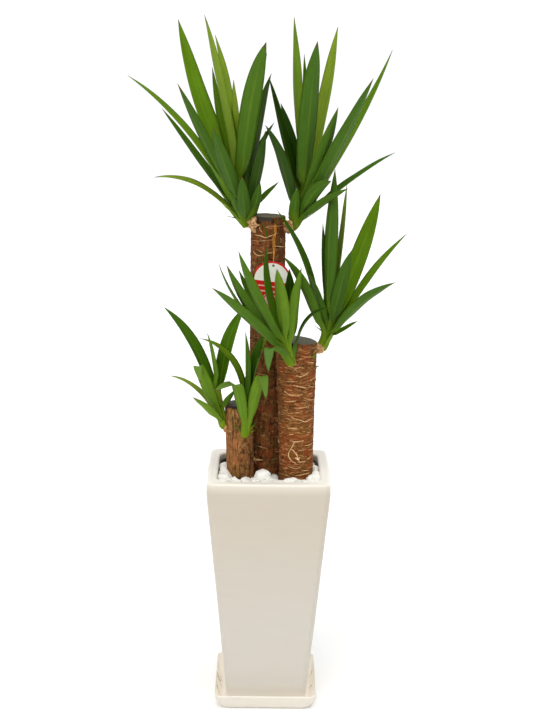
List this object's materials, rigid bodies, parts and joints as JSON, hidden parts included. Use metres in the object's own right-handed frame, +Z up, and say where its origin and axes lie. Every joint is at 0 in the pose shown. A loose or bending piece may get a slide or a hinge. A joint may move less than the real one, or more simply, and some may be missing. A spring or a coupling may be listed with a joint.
{
  "type": "potted yucca",
  "caption": "House plant of sawn woody canes with rosettes of sword-shaped leaves, in a tall tapered square glazed planter that stands in a drip saucer.",
  "frame": {"origin": "under the middle of the planter, level with the saucer's underside, where the whole plant stands on the floor", "axes": "+Z up along the canes; the planter's front wall faces -Y and its side walls face -X and +X"},
  "size_m": [0.672, 0.454, 1.7034],
  "materials": {
    "glaze": "gloss",
    "saucer": "satin",
    "nursery": "satin",
    "foam": "matte",
    "soil": "matte",
    "stones": "matte",
    "bark": "matte",
    "shoot": "satin",
    "leaf": "satin",
    "tag": "satin",
    "elastic": "matte"
  },
  "bodies": {
    "root": {"cane_medium": "bark", "cane_short": "bark", "cane_tall": "bark", "foam_riser": "foam", "medium_front_leaf_01": "leaf", "medium_front_leaf_02": "leaf", "medium_front_leaf_03": "leaf", "medium_front_leaf_04": "leaf", "medium_front_leaf_05": "leaf", "medium_front_leaf_06": "leaf", "medium_front_leaf_07": "leaf", "medium_front_shoot": "shoot", "medium_right_leaf_01": "leaf", "medium_right_leaf_02": "leaf", "medium_right_leaf_03": "leaf", "medium_right_leaf_04": "leaf", "medium_right_leaf_05": "leaf", "medium_right_leaf_06": "leaf", "medium_right_leaf_07": "leaf", "medium_right_shoot": "shoot", "nursery_pot": "nursery", "plant_tag": "tag", "planter": "glaze", "potting_soil": "soil", "saucer": "saucer", "short_front_leaf_01": "leaf", "short_front_leaf_02": "leaf", "short_front_leaf_03": "leaf", "short_front_shoot": "shoot", "short_left_leaf_01": "leaf", "short_left_leaf_02": "leaf", "short_left_leaf_03": "leaf", "short_left_shoot": "shoot", "tag_elastic": "elastic", "tall_left_leaf_01": "leaf", "tall_left_leaf_02": "leaf", "tall_left_leaf_03": "leaf", "tall_left_leaf_04": "leaf", "tall_left_leaf_05": "leaf", "tall_left_leaf_06": "leaf", "tall_left_leaf_07": "leaf", "tall_left_leaf_08": "leaf", "tall_left_leaf_09": "leaf", "tall_left_leaf_10": "leaf", "tall_left_leaf_11": "leaf", "tall_left_leaf_12": "leaf", "tall_left_shoot": "shoot", "tall_right_leaf_01": "leaf", "tall_right_leaf_02": "leaf", "tall_right_leaf_03": "leaf", "tall_right_leaf_04": "leaf", "tall_right_leaf_05": "leaf", "tall_right_leaf_06": "leaf", "tall_right_leaf_07": "leaf", "tall_right_leaf_08": "leaf", "tall_right_leaf_09": "leaf", "tall_right_shoot": "shoot", "white_stones": "stones"}
  },
  "joints": []
}
